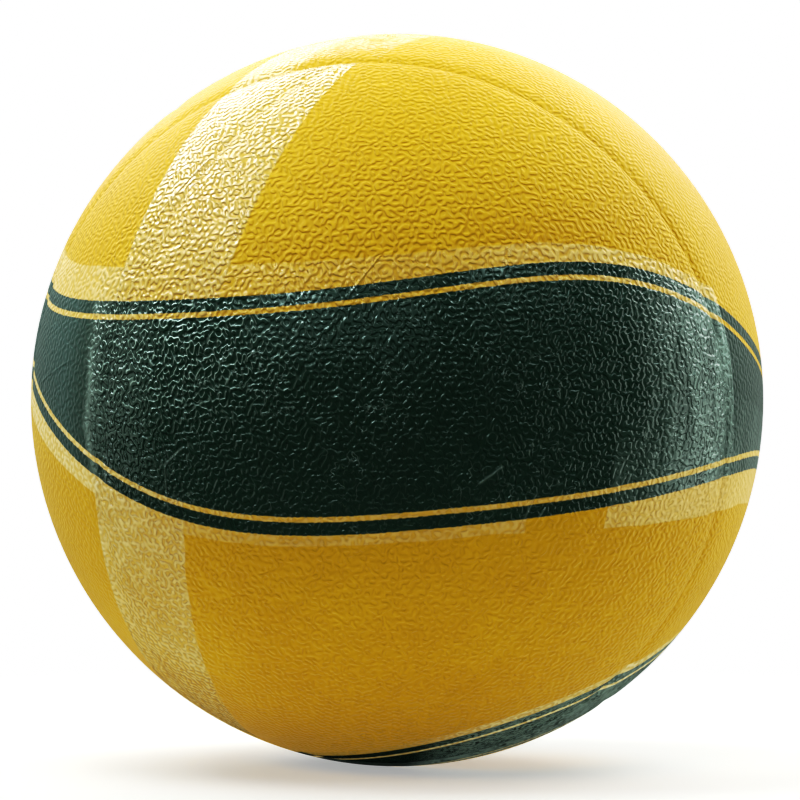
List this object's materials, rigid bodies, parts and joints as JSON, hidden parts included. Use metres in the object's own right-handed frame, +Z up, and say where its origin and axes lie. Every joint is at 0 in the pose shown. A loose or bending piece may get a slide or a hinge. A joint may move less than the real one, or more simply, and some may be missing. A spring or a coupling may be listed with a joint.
{
  "type": "volleyball",
  "caption": "Inflated volleyball with a grained yellow panel cover over a rubber lining, thread winding and bladder, and a needle valve at the back.",
  "frame": {"origin": "centre of the ball", "axes": "+Z up, +X to the right of the pictured front, which faces -Y; +Y along the valve axis, out of the ball"},
  "size_m": [0.21, 0.2096, 0.21],
  "materials": {
    "cover": "grained satin synthetic leather",
    "lining": "matt natural rubber",
    "winding": "wound thread",
    "bladder": "smooth butyl rubber",
    "valve_boss": "matt rubber",
    "valve_core": "matt rubber"
  },
  "bodies": {
    "root": {"front_left_panel": "cover", "front_upper_panel": "cover", "front_lower_panel": "cover", "front_right_panel": "cover", "belt_upper_panel": "cover", "belt_lower_panel": "cover", "back_left_panel": "cover", "back_upper_panel": "cover", "back_lower_panel": "cover", "back_right_panel": "cover", "lining": "lining", "winding": "winding", "bladder": "bladder", "valve_boss": "valve_boss", "valve_core": "valve_core"}
  },
  "joints": []
}
